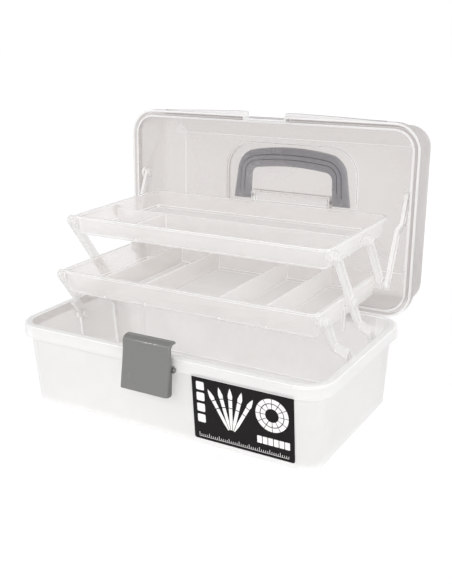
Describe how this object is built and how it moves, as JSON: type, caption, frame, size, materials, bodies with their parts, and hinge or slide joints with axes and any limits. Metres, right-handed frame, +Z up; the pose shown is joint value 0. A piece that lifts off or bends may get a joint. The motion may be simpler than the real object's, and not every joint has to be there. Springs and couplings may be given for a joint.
{
  "type": "art supply box",
  "caption": "Translucent plastic carry box with a hinged lid that swings two divided trays out on arms, a front latch and a folding top handle.",
  "frame": {"origin": "plan centre of the base's underside, on the ground", "axes": "+X along the box to its right seen from the latch side, +Y from the latch side to the hinge side, +Z up"},
  "size_m": [0.33, 0.2932, 0.2698],
  "materials": {
    "frosted_base": "frosted translucent moulded polypropylene",
    "frosted_lid": "frosted translucent moulded polypropylene",
    "frosted_tray": "frosted translucent moulded polypropylene",
    "white_arm": "milky moulded polypropylene",
    "white_pin": "milky moulded polypropylene",
    "latch_grey": "moulded grey plastic, satin",
    "handle_grey": "moulded grey plastic, satin",
    "pin_steel": "plain steel rod",
    "label_print": "printed film, near-black with white print"
  },
  "bodies": {
    "base": {"base_box": "frosted_base", "base_front_pin_l": "white_pin", "base_front_pin_r": "white_pin", "base_rear_pin_l": "white_pin", "base_rear_pin_r": "white_pin", "hinge_pin_l": "white_pin", "hinge_pin_r": "white_pin", "latch_pin": "pin_steel", "front_label": "label_print"},
    "lid": {"lid_shell": "frosted_lid", "lid_link_pin_l": "white_pin", "lid_link_pin_r": "white_pin", "handle_pin_l": "pin_steel", "handle_pin_r": "pin_steel"},
    "handle": {"handle": "handle_grey"},
    "latch": {"latch": "latch_grey"},
    "long_arm_r": {"long_arm_r": "white_arm"},
    "long_arm_l": {"long_arm_l": "white_arm"},
    "front_arm_r": {"front_arm_r": "white_arm"},
    "front_arm_l": {"front_arm_l": "white_arm"},
    "lower_tray": {"lower_tray": "frosted_tray", "lower_tray_front_pin_l": "white_pin", "lower_tray_front_pin_r": "white_pin", "lower_tray_mid_pin_l": "white_pin", "lower_tray_mid_pin_r": "white_pin", "lower_tray_rear_pin_l": "white_pin", "lower_tray_rear_pin_r": "white_pin"},
    "upper_tray": {"upper_tray": "frosted_tray", "upper_tray_front_pin_l": "white_pin", "upper_tray_front_pin_r": "white_pin", "upper_tray_rear_pin_l": "white_pin", "upper_tray_rear_pin_r": "white_pin"},
    "rear_arm_r": {"rear_arm_r": "white_arm"},
    "rear_arm_l": {"rear_arm_l": "white_arm"},
    "lid_link_r": {"lid_link_r": "white_arm"},
    "lid_link_l": {"lid_link_l": "white_arm"}
  },
  "joints": [
    {"name": "lid_hinge", "type": "hinge", "parent": "base", "child": "lid", "pos_m": [0, 0.09707, 0.07533], "axis": [1, 0, 0], "range_deg": [0, 92.5]},
    {"name": "long_arm_r_swing", "type": "hinge", "parent": "base", "child": "long_arm_r", "pos_m": [0.151, 0.05, 0.067], "axis": [1, 0, 0], "range_deg": [0, 32]},
    {"name": "long_arm_l_swing", "type": "hinge", "parent": "base", "child": "long_arm_l", "pos_m": [-0.151, 0.05, 0.067], "axis": [1, 0, 0], "range_deg": [0, 32]},
    {"name": "front_arm_r_swing", "type": "hinge", "parent": "base", "child": "front_arm_r", "pos_m": [0.151, -0.006, 0.067], "axis": [1, 0, 0], "range_deg": [0, 32]},
    {"name": "front_arm_l_swing", "type": "hinge", "parent": "base", "child": "front_arm_l", "pos_m": [-0.151, -0.006, 0.067], "axis": [1, 0, 0], "range_deg": [0, 32]},
    {"name": "lower_tray_swing", "type": "hinge", "parent": "long_arm_r", "child": "lower_tray", "pos_m": [0, 0.01186, 0.12147], "axis": [1, 0, 0], "range_deg": [-32, 0]},
    {"name": "upper_tray_swing", "type": "hinge", "parent": "long_arm_r", "child": "upper_tray", "pos_m": [0, -0.02371, 0.17226], "axis": [1, 0, 0], "range_deg": [-32, 0]},
    {"name": "rear_arm_r_swing", "type": "hinge", "parent": "lower_tray", "child": "rear_arm_r", "pos_m": [0.143, 0.08486, 0.11747], "axis": [1, 0, 0], "range_deg": [0, 32]},
    {"name": "rear_arm_l_swing", "type": "hinge", "parent": "lower_tray", "child": "rear_arm_l", "pos_m": [-0.143, 0.08486, 0.11747], "axis": [1, 0, 0], "range_deg": [0, 32]},
    {"name": "lid_link_r_swing", "type": "hinge", "parent": "lid", "child": "lid_link_r", "pos_m": [0.152, 0.12151, 0.19558], "axis": [1, 0, 0], "range_deg": [0, 19]},
    {"name": "lid_link_l_swing", "type": "hinge", "parent": "lid", "child": "lid_link_l", "pos_m": [-0.152, 0.12151, 0.19558], "axis": [1, 0, 0], "range_deg": [0, 19]},
    {"name": "latch_swing", "type": "hinge", "parent": "base", "child": "latch", "pos_m": [0, -0.0995, 0.074], "axis": [1, 0, 0], "range_deg": [-8, 12]},
    {"name": "handle_swing", "type": "hinge", "parent": "lid", "child": "handle", "pos_m": [0, 0.17644, 0.16983], "axis": [-1, 0, 0], "range_deg": [0, 90]}
  ],
  "couplings": [
    {"joint": "long_arm_r_swing", "follows": "lid_hinge", "ratio": 0.3459},
    {"joint": "long_arm_l_swing", "follows": "lid_hinge", "ratio": 0.3459},
    {"joint": "front_arm_r_swing", "follows": "lid_hinge", "ratio": 0.3459},
    {"joint": "front_arm_l_swing", "follows": "lid_hinge", "ratio": 0.3459},
    {"joint": "lower_tray_swing", "follows": "lid_hinge", "ratio": -0.3459},
    {"joint": "upper_tray_swing", "follows": "lid_hinge", "ratio": -0.3459},
    {"joint": "rear_arm_r_swing", "follows": "lid_hinge", "ratio": 0.3459},
    {"joint": "rear_arm_l_swing", "follows": "lid_hinge", "ratio": 0.3459},
    {"joint": "lid_link_r_swing", "follows": "lid_hinge", "ratio": 0.205},
    {"joint": "lid_link_l_swing", "follows": "lid_hinge", "ratio": 0.205}
  ]
}
